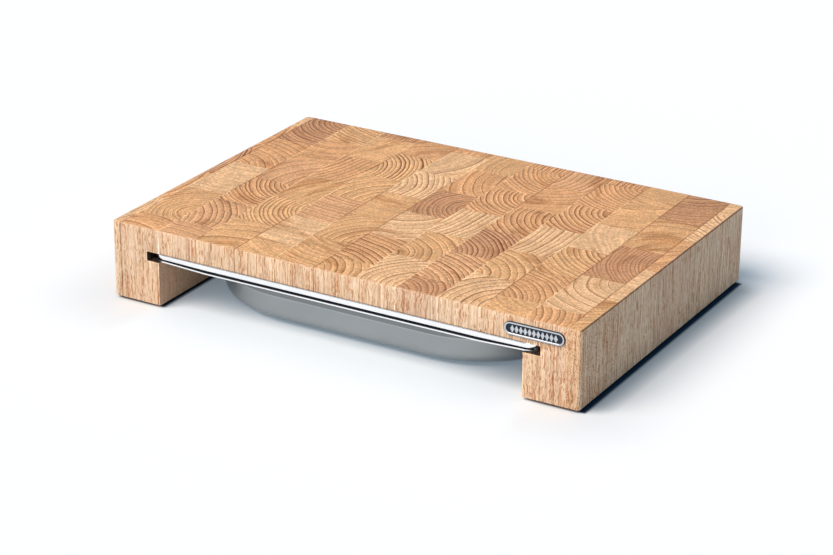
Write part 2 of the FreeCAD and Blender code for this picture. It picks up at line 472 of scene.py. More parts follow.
tray_room = new_box("tray_room", (LEG_FACES[0], -CUTTER_REACH, -5),
                    (LEG_FACES[1], CUTTER_REACH, DECK_UNDERSIDE))
pick(tray_room, "faces", lambda at, way: True)
bpy.ops.mesh.bisect(plane_co=(0, 0, SLOT_FLOOR * MM), plane_no=(0, 0, 1))
for side, leg_face in zip((-1, 1), LEG_FACES):
    pick(tray_room, "faces", lambda at, way: way.x * side > 0.9 and at.z > SLOT_FLOOR)
    extrude(side * SLOT_END - leg_face, 0, 0)
done()
apply_boolean(board, tray_room, "DIFFERENCE")
drop(tray_room)
print("milled board:", len(board.data.polygons), "faces")

# %% Ease the edges of the opening
MOUTH_EASE = 0.35


def mouth_edge(at, way):
    """An edge of the tray's opening, on the front or back face or along the bottom of a leg."""
    in_opening = abs(at.x) < SLOT_END + HAIR and at.z < DECK_UNDERSIDE + HAIR
    on_face = in_opening and HALF_DEPTH - abs(at.y) < HAIR
    under_leg = abs(at.z - WOOD_BOTTOM) < HAIR and abs(way.y) > 0.9 and abs(at.x) < SLOT_END
    return on_face or under_leg


eased = pick(board, "edges", mouth_edge)
bpy.ops.mesh.bevel(offset=MOUTH_EASE * MM, segments=2, affect="EDGES")
done()
print("eased", eased, "edges of the opening")

# %% [markdown]
# ## Seats for the feet
# Each rubber foot sits in a shallow bored recess, so the recesses are cut before the board is
# divided. A cylinder is the drill.

# %% Bore the recesses
FOOT_PLACE = (173.0, 90.0)      # from the middle of the board
FOOT_SPOTS = {f"{end}_{side}": (to_side * FOOT_PLACE[0], to_back * FOOT_PLACE[1])
              for end, to_back in (("front", -1), ("back", 1))
              for side, to_side in (("left", -1), ("right", 1))}
RECESS_RADIUS = 8.2
RECESS_DEPTH = 2.0

for foot_x, foot_y in FOOT_SPOTS.values():
    drill = new_cylinder("drill", RECESS_RADIUS, 2 * RECESS_DEPTH, (foot_x, foot_y, WOOD_BOTTOM))
    apply_boolean(board, drill, "DIFFERENCE")
    drop(drill)
print("board with recesses:", len(board.data.polygons), "faces")

# %% [markdown]
# ## Strips and blocks
# Thirteen strips run from front to back. The joints of one strip lie half a block away from those of
# the next, as in a brick wall, so that no glue line crosses the whole board. Each block is a blank
# that keeps only what it shares with the milled board.

# %% Lay out the strips
STRIPS = 13
DECK_STRIPS = range(3, 12)          # the others form the legs
STRIP_WIDTH = 33.8
FIRST_GLUE_LINE = -187.5
STRIP_SIDES = [-HALF_WIDTH] + [round(FIRST_GLUE_LINE + STRIP_WIDTH * i, 3) for i in range(STRIPS - 1)]
STRIP_SIDES.append(HALF_WIDTH)
DECK_BLOCK = 51.5
LEG_BLOCK = 62.5
DECK_FIRST_JOINT = 26.5
LEG_FIRST_JOINT = 25.5
SHORTEST_BLOCK = 1.5


def strip_joints(number):
    """Front ends of the blocks of one strip, and the back of the board, in millimetres."""
    if number in DECK_STRIPS:
        first, length = DECK_FIRST_JOINT + (0 if number % 2 else DECK_BLOCK / 2), DECK_BLOCK
    else:
        first, length = LEG_FIRST_JOINT + (LEG_BLOCK / 2 if number in (1, STRIPS) else 0), LEG_BLOCK
    joints = [-HALF_DEPTH]
    at = first - HALF_DEPTH
    while at < HALF_DEPTH - SHORTEST_BLOCK:
        joints.append(at)
        at += length
    return joints + [HALF_DEPTH]


print("blocks:", sum(len(strip_joints(n)) - 1 for n in range(1, STRIPS + 1)))

# %% [markdown]
# ## Choosing the sticks
# Every block comes from its own stick: one is sawn near the heart of the tree and shows tight arcs,
# the next far from it and shows broad bands. The list is the maker's choice, strip by strip, from
# front to back. Each entry has a tone of wood, the bearing of the tree's heart from the middle of the
# block (0 is right, 90 is back), its distance and the ring spacing in millimetres, and how dark the
# rings are.

# %% Choose a stick for every block
STICK_COLOURS = {
    "pale": linear(241, 191, 143),
    "honey": linear(231, 176, 124),
    "tan": linear(227, 168, 118),
    "rose": linear(228, 171, 124),
    "brown": linear(205, 149, 107),
}
# Strips and blocks with many wide pores, and how many. The others have few.
POROUS = {(13, 0): 1.0, (12, 0): 0.6, (1, 0): 0.45, (2, 0): 0.4}
STICKS = {
    1: [("pale", 170, 60, 4, 0.5), ("tan", 175, 80, 5, 0.5), ("brown", 185, 70, 3, 0.8),
        ("tan", 180, 90, 4, 0.6), ("pale", 90, 80, 6, 0.3)],
    2: [("tan", -100, 60, 11, 0.7), ("honey", -30, 24, 4, 0.45), ("pale", 90, 200, 7, 0.25),
        ("tan", -115, 55, 6, 0.7), ("brown", 60, 38, 4, 0.7)],
    3: [("rose", -95, 80, 8, 0.5), ("rose", -150, 62, 5, 0.75), ("tan", 53, 45, 3.8, 0.85),
        ("rose", -25, 60, 12, 0.8), ("tan", 105, 45, 13, 0.45), ("honey", 70, 70, 4, 0.65)],
    4: [("honey", -70, 70, 13, 0.65), ("honey", 27, 37, 3.3, 0.7), ("honey", -25, 70, 6, 0.3),
        ("tan", 166, 100, 4.5, 0.75), ("honey", -30, 100, 9, 0.2), ("brown", 0, 200, 3, 0.6)],
    5: [("honey", 60, 80, 6, 0.2), ("pale", 90, 100, 7, 0.22), ("rose", 82, 120, 5.5, 0.6),
        ("honey", -33, 46, 7, 0.7), ("honey", -156, 45, 3.4, 0.95), ("tan", -50, 60, 12, 0.5)],
    6: [("honey", 75, 80, 6, 0.5), ("honey", -33, 42, 6, 0.65), ("honey", 90, 60, 8, 0.22),
        ("pale", -162, 52, 4.2, 0.75), ("pale", 160, 60, 18, 0.6), ("tan", 0, 120, 6, 0.3)],
    7: [("honey", -150, 30, 5, 0.65), ("tan", -110, 75, 5, 0.95), ("pale", 120, 47, 8, 0.65),
        ("brown", 0, 26, 3.6, 0.55), ("tan", 20, 60, 9, 0.65), ("honey", 0, 42, 7, 0.4)],
    8: [("pale", -31, 41, 5, 0.7), ("honey", -134, 39, 6, 0.8), ("pale", 172, 120, 4.2, 0.7),
        ("tan", 44, 34, 4, 1.0), ("tan", 50, 42, 3.6, 0.55), ("tan", 180, 200, 3.2, 0.9)],
    9: [("brown", -135, 25, 4, 0.6), ("rose", -120, 60, 4.6, 0.85), ("brown", -135, 50, 3.6, 0.95),
        ("tan", 30, 40, 4.6, 0.85), ("tan", 120, 50, 7, 0.55), ("rose", 175, 60, 5, 0.75)],
    10: [("pale", -28, 40, 6, 0.7), ("honey", -132, 40, 6.4, 0.75), ("pale", 176, 130, 4.8, 0.7),
         ("tan", 46, 35, 4.2, 0.95), ("tan", 56, 44, 4, 0.6), ("tan", 0, 200, 3.4, 0.85)],
    11: [("honey", 60, 60, 8, 0.3), ("tan", -130, 45, 4.2, 0.65), ("honey", 50, 55, 4.2, 0.7),
         ("pale", 30, 90, 9, 0.15), ("honey", 110, 60, 12, 0.5), ("honey", 80, 90, 9, 0.25)],
    12: [("tan", -160, 50, 5, 0.75), ("pale", 54, 38, 8.5, 0.65), ("brown", 20, 60, 3, 0.45),
         ("honey", -70, 40, 9, 0.4), ("brown", 110, 70, 7, 0.65)],
    13: [("honey", -60, 70, 5, 0.6), ("pale", 90, 90, 6, 0.3), ("tan", -50, 60, 8, 0.5),
         ("pale", 60, 60, 4, 0.6), ("pale", 100, 80, 7, 0.3)],
}
print("sticks chosen:", sum(len(row) for row in STICKS.values()))

# %% Cut the blocks and glue them into strips
LUCK = random.Random(11)
OVERSIZE = 6.0              # of the blanks past the outer faces, which the milled board gives
BLANK_BOTTOM, BLANK_TOP = -5.0, 70.0


def join_all(pieces):
    """Join pieces into the first of them."""
    take(pieces[0])
    for piece in pieces:
        piece.select_set(True)
    bpy.ops.object.join()
    return bpy.context.object


def describe(block, low, high, heart, spacing, strength, colour, seed, porous):
    """Write on every point of a block what the wood finish has to know about it."""
    middle = [(a + b) / 2 for a, b in zip(low, high)]
    half = [(b - a) / 2 for a, b in zip(low, high)]
    facts = {
        "block_middle": (*middle, seed),
        "block_half": (*half, strength),
        "heart": (*heart, spacing, porous),
        "stick_colour": colour,
    }
    for name, value in facts.items():
        layer = block.data.attributes.new(name, "FLOAT_COLOR", "POINT")
        layer.data.foreach_set("color", [*value] * len(block.data.vertices))


strips = []
for number, (x0, x1) in enumerate(zip(STRIP_SIDES, STRIP_SIDES[1:]), start=1):
    joints = strip_joints(number)
    blocks = []
    for place, (stick, y0, y1) in enumerate(zip(STICKS[number], joints, joints[1:])):
        low = [x0 - OVERSIZE * (number == 1), y0 - OVERSIZE * (y0 == -HALF_DEPTH), BLANK_BOTTOM]
        high = [x1 + OVERSIZE * (number == STRIPS), y1 + OVERSIZE * (y1 == HALF_DEPTH), BLANK_TOP]
        block = new_box("block", low, high)
        apply_boolean(block, board, "INTERSECT")
        colour, bearing, distance, spacing, depth = stick
        turn = math.radians(bearing)
        heart = ((x0 + x1) / 2 + distance * math.cos(turn), (y0 + y1) / 2 + distance * math.sin(turn))
        describe(block, low, high, heart, spacing, depth, STICK_COLOURS[colour], LUCK.uniform(0, 100),
                 POROUS.get((number, place), LUCK.uniform(0.0, 0.3)))
        blocks.append(block)
    strip = join_all(blocks)
    strip.name = strip.data.name = f"glued_strip_{number:02d}"
    bpy.ops.object.shade_smooth_by_angle(angle=math.radians(32))
    strips.append(strip)
drop(board)
print("strips:", [(s.name[-2:], len(s.data.polygons)) for s in strips])

# %% [markdown]
# ## Wood on end
# The pattern of a block is solid: rings show as arcs on top and as upright lines down the sides, and
# pores as dots on top and as upright dashes on the sides. Reading Object coordinates gives both from
# one network. Every block carries its own heart, ring spacing and colour as attributes, so one finish
# serves all of them.

# %% Wood finish: where a point lies in its stick
wood = Finish("end_grain_wood")
x, y, z = wood.split(wood.millimetres())
from_middle = abs(x)
facing_x, facing_y, facing_up = (abs(part) for part in wood.split(wood.normal()))
FACING = (0.4, 0.6)         # from here to there a surface comes to count as facing a side
middle, seed = wood.attribute("block_middle")
half, depth = wood.attribute("block_half")          # depth is how dark the rings are
heart, porous = wood.attribute("heart")
stick_colour, _ = wood.attribute("stick_colour", "Color")
middle_x, middle_y, _ = wood.split(middle)
half_x, half_y, _ = wood.split(half)
heart_x, heart_y, spacing = wood.split(heart)

across_x, across_y = x - heart_x, y - heart_y
plain_radius = wood.vector("LENGTH", wood.join(across_x, across_y, 0.0))
slow = wood.join(seed * 13.0 + x, y, z * 0.25)
fine = wood.join(x, y, z * 0.035 + seed)
print("nodes so far:", len(wood.tree.nodes))

# %% [markdown]
# A growth ring darkens slowly, ends in a thin dark line, and the next one starts pale: a saw tooth
# over the distance from the heart. A slow noise bends the rings, a noise over the radius varies their
# width, and each ring draws its own darkness. The pith has almost no dark rings.

# %% Wood finish: growth rings
WAVE = 5.0                  # how far the rings stray from circles, in millimetres
RIPPLE = 0.7                # the same at a smaller scale
HEART_LEAN = 0.03           # the stick is not sawn quite along the tree
UNEVEN = 0.85               # how much the years differ in width
LINE_START, LINE_WIDTH = 0.4, 1.6       # of the dark line that ends a year, in millimetres
PITH, FIRST_RINGS = 6.0, 15.0           # radius without rings, and where they are in full

wave = wood.noise(slow, 0.03, 1.0) - 0.5
ripple = wood.noise(slow, 0.25, 1.0) - 0.5
radius = plain_radius + wave * WAVE + ripple * RIPPLE + z * HEART_LEAN
growth = radius / spacing
uneven = wood.noise(wood.join(growth * 0.8 + seed, seed, 0.0), 1.0, 0.0) - 0.5
growth = growth + uneven * UNEVEN
ring, within = wood.math("FLOOR", growth), wood.math("FRACT", growth)
to_edge, from_edge = (1.0 - within) * spacing, within * spacing     # both in millimetres
ring_luck = wood.add("TexWhiteNoise", {"Vector": wood.join(ring, seed, 0.0)})
line = to_edge.fade(LINE_START, LINE_WIDTH) * to_edge.ease(0.0, 0.25) * ring_luck.ramp(0.0, 0.8, 0.3, 1.0)
late = smallest((line + wood.math("POWER", within, 2.2) * 0.26) * depth, 1.0)
late = late * plain_radius.ease(PITH, FIRST_RINGS, 0.15, 1.0)
early = from_edge.fade(0.3, 2.2) * depth
bands = wood.noise(wood.join(growth * 2.6 + seed, 0.0, seed), 1.0, 3.0, 0.7)
print("nodes so far:", len(wood.tree.nodes))

# %% [markdown]
# Stretching the coordinates along the grain turns the cells of a Voronoi texture into long vessels:
# cut across they are dots, cut along they are dashes. Rays run out from the heart, so their noise is
# laid over the angle round it. On the sides the fibres sway a little, so the streaks do not look
# ruled.

# %% Wood finish: pores, fibres and rays
SWAY = 3.5                  # of the fibres, in millimetres
STREAK_STRETCH = 0.030      # the smaller, the longer the streaks


def tubes(where, scale):
    """Distance from the middle of the nearest vessel."""
    return wood.add("TexVoronoi", {"Vector": where, "Scale": scale, "Randomness": 1.0}, "Distance")


pore = tubes(fine, 0.72).fade(0.10, 0.30)
fibre = wood.noise(fine, 1.0, 3.0, 0.7)
grain = wood.noise(fine, 0.55, 2.0, 0.6)
mottle = wood.noise(slow, 0.16)
patch = wood.noise(slow, 0.045, 1.0)
angle = wood.math("ARCTAN2", across_y, across_x)
stain = wood.noise(wood.join(radius * 0.045, angle * radius * 0.02, seed), 1.0, 3.0, 0.6)
ray = wood.noise(wood.join(angle * 70.0, radius * 0.12, seed), 1.0)

sway = (wood.noise(wood.join(x * 0.6, y * 0.6, z), 0.10, 1.0) - 0.5) * SWAY
sway_x, sway_y = x + sway, y + sway
streak_at = wood.join(sway_x, sway_y, z * STREAK_STRETCH + seed)
streak = wood.noise(streak_at, 0.90, 3.0, 0.75)
pale_streak = wood.noise(wood.vector("ADD", streak_at, (40.0, 7.0, 3.0)), 0.85, 2.0, 0.6)
broad_streak = wood.noise(streak_at, 0.16)
rough_sawn = wood.noise(wood.join(x, y, z * 0.5 + seed), 0.8, 2.0, 0.7)
dash_at = wood.join(sway_x, sway_y, z * porous.ease(0.5, 1.0, 0.18, 0.50) + seed)
dash = tubes(dash_at, 0.85).fade(0.14, 0.40) * porous.ease(0.0, 1.0, 0.35, 1.0)
print("nodes so far:", len(wood.tree.nodes))

# %% [markdown]
# End grain drinks the oil and turns deep and warm. Long grain takes little of it and stays creamy, so
# the sides are mixed towards a pale tone, less so on the front of a porous block. The inner faces of
# the legs are rough, and darker and greyer. All shading is done by multiplying, which keeps the hue.

# %% Wood finish: colour
LATE_WOOD = (0.28, 0.15, 0.08, 1)
EARLY_WOOD = (1.27, 1.34, 1.38, 1)
HEART_WOOD = (0.76, 0.66, 0.57, 1)
PORE_TONE = (0.50, 0.33, 0.23, 1)
STREAK_TONE = (0.67, 0.43, 0.28, 1)
PALE_STREAK = (1.13, 1.20, 1.27, 1)
UNDER_DECK_TONE = (0.73, 0.67, 0.65, 1)
CREAM = linear(243, 214, 183)
CREAM_SHARE, POROUS_CREAM_SHARE = 0.60, 0.34
FRAY = (0.2, 2.2)           # how far fibres torn by the plane reach in over the edges of the top


def shade(colour, *noises):
    """Lighten and darken a colour by noises, each with the range of its factor."""
    for noise, low, high in noises:
        factor = noise.spread(low, high)
        colour = wood.mix(1.0, colour, wood.join(factor, factor, factor), "MULTIPLY")
    return colour


def tint(colour, *layers):
    """Multiply a colour by tinted factors, each as far as its share says."""
    for share, factor in layers:
        colour = wood.mix(share, colour, wood.mix(1.0, colour, factor, "MULTIPLY"))
    return colour


end_colour = shade(stick_colour, (patch, 0.92, 1.08), (mottle, 0.92, 1.08), (bands, 0.80, 1.14),
                   (fibre, 0.71, 1.25), (grain, 0.74, 1.23), (ray, 0.92, 1.08))
end_colour = tint(end_colour, (stain.ease(0.54, 0.68), HEART_WOOD), (early, EARLY_WOOD),
                  (late, LATE_WOOD), (pore * 0.5, PORE_TONE))

outside = largest(z.ease(DECK_UNDERSIDE - 0.1, DECK_UNDERSIDE, 0.3), facing_y.ease(*FACING, 0.3),
                  from_middle.ease(160, 190, 0.3))
inside = outside.ramp(0.3, 1.0, 1.0, 0.0)
cream = largest(porous.ease(0.5, 1.0, CREAM_SHARE, POROUS_CREAM_SHARE),
                facing_x.ease(*FACING, 0.0, CREAM_SHARE))
side_colour = shade(wood.mix(cream, stick_colour, CREAM), (broad_streak, 0.95, 1.05), (grain, 0.93, 1.07))
side_colour = wood.mix(inside, side_colour, shade(side_colour, (rough_sawn, 0.78, 1.20)))
# faces under the deck are made darker and greyer
side_colour = tint(side_colour, (inside, UNDER_DECK_TONE), (streak.ease(0.50, 0.60) * outside, STREAK_TONE),
                   (pale_streak.ease(0.50, 0.62) * outside, PALE_STREAK),
                   (late * 0.5 * outside, LATE_WOOD), (dash * outside, PORE_TONE))

to_rim = smallest(y + HALF_DEPTH, HALF_WIDTH - from_middle)
fray = wood.noise(wood.join(x, y, 0.5), 0.75, 2.0, 0.6).spread(*FRAY)
frayed = (to_rim - fray).fade(0.0, 0.4, 0.75)
colour = wood.mix(smallest(facing_up.ease(0.45, 0.85), 1.0 - frayed), side_colour, end_colour)
print("nodes so far:", len(wood.tree.nodes))

# %% [markdown]
# Glue shows as a hairline where a point is close to the side of its own block. It is dark where dust
# has settled on it and pale where it is still bare. Inside, the slots are painted nearly black as shade,
# with faint brown fibre. A pale painted highlight runs beside the slots and along the inner edges of the
# legs, and thin lines of painted shade darken the back and the ends of the top, the edge over the
# opening and the underside of the deck.

# %% Wood finish: glue lines, and painted shade and highlights at slots and edges
GLUE_TONE = (0.40, 0.26, 0.17, 1)
BARE_GLUE = (1.36, 1.55, 1.70, 1)
SLOT_SHADE = (0.006, 0.008, 0.013, 1)
SLOT_SHADE_FIBRE = (0.16, 0.09, 0.05, 1)
EDGE_SHADE_TONE = (0.28, 0.19, 0.14, 1)
EDGE_HIGHLIGHT = (1.25, 1.30, 1.20, 1)
EDGE_HIGHLIGHT_WIDTH = 0.8                           # width of the painted highlight along an edge, in millimetres
SLOT_HALF = (DECK_UNDERSIDE - SLOT_FLOOR) / 2
OPENING = (151, 154)                # where the painted highlight beside a slot begins, next to the opening

gap_x, gap_y = half_x - abs(x - middle_x), half_y - abs(y - middle_y)
strip_glue = gap_x.fade(0.20, 0.80) * facing_x.fade(*FACING)            # not on the left or the right
block_glue = gap_y.fade(0.10, 0.60, 0.7) * facing_y.fade(*FACING)       # not on the front or the back
glue = largest(strip_glue, block_glue) * mottle.ease(0.35, 0.65, 0.4)
bare = wood.noise(wood.join(x * 0.03, y * 0.012, 0.5), 1.0, 0.0)
colour = tint(colour, (glue, wood.mix(bare.ease(0.46, 0.52), GLUE_TONE, BARE_GLUE)))

# painted shade: the wood inside the slots is painted nearly black, with faint brown fibre
from_slot = abs(z - (SLOT_FLOOR + DECK_UNDERSIDE) / 2)
in_slot = from_slot.fade(SLOT_HALF + 0.01, SLOT_HALF + 0.03)
in_slot = in_slot * from_middle.fade(SLOT_END + 0.05, SLOT_END + 0.08)
colour = wood.mix(in_slot, colour, wood.mix(fibre.ease(0.50, 0.62), SLOT_SHADE, SLOT_SHADE_FIBRE))

# painted shade: thin dark lines along the ends and the back of the top, over the opening and under the
# deck
right_edge_shade = x.ease(HALF_WIDTH - 1.1, HALF_WIDTH - 0.7)
left_edge_shade = x.ease(1.0 - HALF_WIDTH, 0.5 - HALF_WIDTH) * y.ease(-40.0, 10.0)
back_edge_shade = y.ease(HALF_DEPTH - 1.6, HALF_DEPTH - 0.8, 0.0, 0.55)
painted_edge_shade = largest(right_edge_shade, left_edge_shade, back_edge_shade) * z.ease(BOARD_TOP - 1.1, BOARD_TOP - 0.7)
over_opening = z.band(DECK_UNDERSIDE - 1, DECK_UNDERSIDE + 0.5, 0.5) * from_middle.fade(150.0, 152.0, 0.7)
painted_edge_shade = largest(painted_edge_shade, over_opening)

# painted highlight: pale lines on the front and back beside the slots and along the inner edges of the
# legs
beyond_slot = largest(from_middle - SLOT_END, from_slot - SLOT_HALF)
slot_edge = beyond_slot.band(0.0, 0.6, 0.3) * from_middle.ease(*OPENING)
leg_edge = largest(x.band(LEG_FACES[0] - EDGE_HIGHLIGHT_WIDTH, LEG_FACES[0], 0.3),
                   x.band(LEG_FACES[1], LEG_FACES[1] + EDGE_HIGHLIGHT_WIDTH, 0.3)) * z.fade(SLOT_FLOOR - 0.3, SLOT_FLOOR)
painted_edge_light = largest(slot_edge, leg_edge) * facing_y.ease(*FACING)
colour = tint(colour, (painted_edge_shade * 0.9, EDGE_SHADE_TONE), (painted_edge_light * 0.7, EDGE_HIGHLIGHT))
print("nodes so far:", len(wood.tree.nodes))

# %% Wood finish: surface, and dress the strips with it
relief = fibre - largest(pore, dash) * 0.9 - glue
wood.surface({"Base Color": colour, "Roughness": fibre.spread(0.50, 0.64), "Specular IOR Level": 0.18},
             bump=(relief, 0.35, 0.0002))
for number, strip in enumerate(strips, start=1):
    strip.data.materials.clear()
    strip.data.materials.append(wood.material)
    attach(strip, "board")
    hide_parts(f"end_grain_strip_{number:02d}")
print("wood finish nodes:", len(wood.tree.nodes))

# %% [markdown]
# ## The tray
# The tray is one sheet of steel, pressed into a shallow well with wide round corners, and rolled over
# at the rim. Its wall is a chain of rounded rectangles: under the floor, up the outside, out to the
# roll, round it and back to the floor inside. Each one is a plane whose corners are beveled, and each
# is bridged to the one before.

# %% Section of the well
RIM_HALF = (162.5, 133.4)
RIM_TOP = 43.3
RIM_BOTTOM = 36.7
RIM_CORNER = 12.0
SHEET = 0.8
WELL_SIDE = 148.5           # half width of the well's mouth, left to right
WELL_DIFFERENCE = 30.0      # how much less the well measures from its middle to the front
WELL_CORNER = 85.0
LEAN = 3.0                  # of the well's wall, in degrees
FLOOR_UNDERSIDE = 3.3
FLOOR_RADIUS = 9.0
MOUTH_RADIUS = 3.0
FALL = 0.05                 # every level face falls this little, since a bridge can twist in one plane


def wall_at(z):
    """Half width of the well's outside at a height."""
    return WELL_SIDE - (RIM_TOP - z) * math.tan(math.radians(LEAN))


def arc(radius, centre, first, last, steps):
    """Points of an arc in the tray's section, as (half width, height), from angles in degrees."""
    angles = [math.radians(first + (last - first) * i / steps) for i in range(steps + 1)]
    return [(centre[0] + radius * math.cos(a), centre[1] + radius * math.sin(a)) for a in angles]


def beside_wall(z, radius):
    """Centre of an arc at a height that runs into the leaning wall; its radius is negative inside."""
    return wall_at(z) + radius / math.cos(math.radians(LEAN)), z


floor_centre = beside_wall(FLOOR_UNDERSIDE + FLOOR_RADIUS, -FLOOR_RADIUS)
mouth_centre = beside_wall(RIM_TOP - FALL - SHEET - MOUTH_RADIUS, MOUTH_RADIUS)
well_outside = arc(FLOOR_RADIUS, floor_centre, -90, -LEAN, 8)
well_outside += arc(MOUTH_RADIUS, mouth_centre, 180 - LEAN, 90, 5)
well_inside = arc(MOUTH_RADIUS + SHEET, mouth_centre, 90, 180 - LEAN, 6)
well_inside += arc(FLOOR_RADIUS - SHEET, floor_centre, -LEAN, -90, 8)
print("well section:", len(well_outside + well_inside), "outlines")

# %% [markdown]
# The rim is not a plain half round. The roller leaves a tall, slightly bulging band, and tucks the
# edge of the sheet back under it as a thin bead, with a narrow groove between the two. The band
# mirrors the room, the groove is painted near black as shade, and the bead draws a second, thin line of
# light.

# %% Section of the rolled rim
RIM_WIDTH = 3.4             # of the strip round the edge that is polished
ROLL_RADIUS = 3.3
HOLLOW_RADIUS = 2.1         # inside the roll
LIP = 1.6                   # flat end of the sheet, below the roll
BAND_RADIUS = 6.4
BAND_MIDDLE = 41.2          # height at which the band stands out the most
BAND_LOW, BAND_HIGH = -18, 8            # where its arc begins and ends, in degrees
SHOULDER = 1.39
GROOVE = (37.9, 39.3)       # from its bottom to its top
GROOVE_DEPTH = 1.4

edge = RIM_HALF[0]
hollow_centre = (edge - ROLL_RADIUS, RIM_TOP - ROLL_RADIUS)
roll_inside = [(edge - RIM_WIDTH, RIM_TOP - SHEET - 0.2)] + arc(HOLLOW_RADIUS, hollow_centre, 90, -90, 8)
lip_end = hollow_centre[0] - LIP
lip = [(lip_end, hollow_centre[1] - HOLLOW_RADIUS + FALL), (lip_end, RIM_BOTTOM + FALL)]
bead = [(edge - 0.50, RIM_BOTTOM), (edge - 0.25, RIM_BOTTOM + 0.06),
        (edge - 0.25, GROOVE[0] - 0.13), (edge - 0.45, GROOVE[0] - 0.05)]
groove = [(edge - GROOVE_DEPTH, height) for height in GROOVE]
band = arc(BAND_RADIUS, (edge - BAND_RADIUS, BAND_MIDDLE), BAND_LOW, BAND_HIGH, 5)
shoulder_centre = (band[-1][0] - SHOULDER * math.cos(math.radians(BAND_HIGH)), RIM_TOP - SHOULDER)
shoulder = arc(SHOULDER, shoulder_centre, 14, 90, 6)
rolled_rim = roll_inside + lip + bead + groove + band + shoulder + [(edge - RIM_WIDTH, RIM_TOP - FALL / 2)]
print("rim section:", len(rolled_rim), "outlines")

# %% Press the tray
CORNER_STEPS = 22


def keep_picked(piece, test):
    """In edit mode, keep only those of the selected edges that pass the test."""
    mesh = bmesh.from_edit_mesh(piece.data)
    for edge in mesh.edges:
        edge.select_set(edge.select and test(edge))
    bmesh.update_edit_mesh(piece.data)


def add_outline(half_width, z, rolled):
    """Add one rounded rectangle to the mesh in edit mode, as a bare loop of edges, left selected."""
    half_depth = half_width - (RIM_HALF[0] - RIM_HALF[1] if rolled else WELL_DIFFERENCE)
    corner = half_width - RIM_HALF[0] + RIM_CORNER if rolled else half_width - WELL_SIDE + WELL_CORNER
    bpy.ops.mesh.primitive_plane_add(size=2, location=(0, 0, z * MM))
    bpy.ops.transform.resize(value=(half_width * MM, half_depth * MM, 1))
    bpy.ops.mesh.bevel(offset=corner * MM, segments=CORNER_STEPS, affect="VERTICES")
    bpy.ops.mesh.delete(type="ONLY_FACE")


def bridge_last_two():
    """Bridge the two outlines that were added last."""
    mesh = bmesh.from_edit_mesh(tray.data)
    mesh.verts.ensure_lookup_table()
    newest = set(mesh.verts[-2 * 4 * (CORNER_STEPS + 1):])
    for edge in mesh.edges:
        edge.select_set(len(edge.link_faces) < 2 and newest.issuperset(edge.verts))
    bmesh.update_edit_mesh(tray.data)
    bpy.ops.mesh.bridge_edge_loops()


section = [(point, False) for point in well_outside]
section += [(point, True) for point in rolled_rim]
section += [(point, False) for point in well_inside]
bpy.ops.object.select_all(action="DESELECT")
bpy.ops.mesh.primitive_plane_add(size=1)
tray = settle("pressed_tray")
bpy.ops.object.mode_set(mode="EDIT")
bpy.ops.mesh.delete(type="VERT")
bpy.ops.mesh.select_mode(type="EDGE")
for step, ((half_width, z), rolled) in enumerate(section):
    add_outline(half_width, z, rolled)
    if step:
        bridge_last_two()
for floor_height in (FLOOR_UNDERSIDE, FLOOR_UNDERSIDE + SHEET):
    pick(tray, "edges", lambda at, way: abs(at.z - floor_height) < HAIR)
    keep_picked(tray, lambda edge: len(edge.link_faces) == 1)
    bpy.ops.mesh.edge_face_add()
bpy.ops.mesh.select_all(action="SELECT")
bpy.ops.mesh.remove_doubles(threshold=0.001 * MM)
bpy.ops.mesh.normals_make_consistent(inside=False)
done()
take(tray)
bpy.ops.object.shade_smooth_by_angle(angle=math.radians(40))
print("tray:", len(tray.data.polygons), "faces")

# %% [markdown]
# ## Steel
# The well is satin and the rolled rim is polished. The network is shared and only its numbers
# differ. Round the outside of the wall, under the rim, a darker band is painted as shade, with a thin
# painted highlight line below it.

# %% Steel finishes
SHADE_BAND = (24.1, 33.0)    # heights of the band of painted shade round the wall
SHADE_BAND_SHARE = 0.66
HIGHLIGHT_LINE = (23.0, 23.4)  # and those of the painted highlight line below it
HIGHLIGHT_SHARE = 1.18


def steel(name, tone, roughness, spread, marks, shade_band_and_highlight=False):
    """A stainless finish: tone, roughness with its spread, depth of the fine marks, and whether the wall
    gets the painted shade band and highlight line.
    """
    finish = Finish(name)
    place = finish.millimetres()
    cloud = finish.noise(place, 0.03, 3.0)
    grit = finish.noise(place, 2.2, 2.0, 0.7)
    level = cloud.spread(0.96, 1.04) * grit.ramp(0.2, 0.8, 0.91, 1.09)
    if shade_band_and_highlight:
        height = finish.split(place)[2]
        sideways = finish.vector("MULTIPLY", place, (1, 1, 0))
        outward = finish.vector("DOT_PRODUCT", sideways, finish.normal()).ease(0, 5)
        # painted shade and painted highlight: a darker band round the outside of the wall under the rim,
        # and a brighter line below it
        for (low, high), soft, share in ((SHADE_BAND, 0.5, SHADE_BAND_SHARE), (HIGHLIGHT_LINE, 0.4, HIGHLIGHT_SHARE)):
            level = level * (height.band(low, high, soft) * outward).ramp(0, 1, 1, share)
    uneven = cloud * 0.6 + grit * 0.4
    return finish.surface({
        "Base Color": finish.mix(1.0, tone, finish.join(level, level, level), "MULTIPLY"),
        "Roughness": uneven.spread(roughness - spread, roughness + spread),
        "Metallic": 1.0}, bump=(grit, marks, 0.00006))


satin_steel = steel("satin_steel", (0.352, 0.372, 0.380, 1), 0.42, 0.05, 0.5, shade_band_and_highlight=True)
polished_steel = steel("polished_steel", (0.95, 0.95, 0.96, 1), 0.12, 0.02, 0.02)
# painted shade: the faces of the groove get a near black steel, so the groove reads dark
groove_painted_shade = steel("groove_painted_shade", (0.012, 0.014, 0.018, 1), 0.5, 0.05, 0.1)


def finish_faces(piece, material, test):
    """Add a material to a piece and give it to the faces that pass the test."""
    piece.data.materials.append(material)
    pick(piece, "faces", test)
    piece.active_material_index = len(piece.data.materials) - 1
    bpy.ops.object.material_slot_assign()
    done()


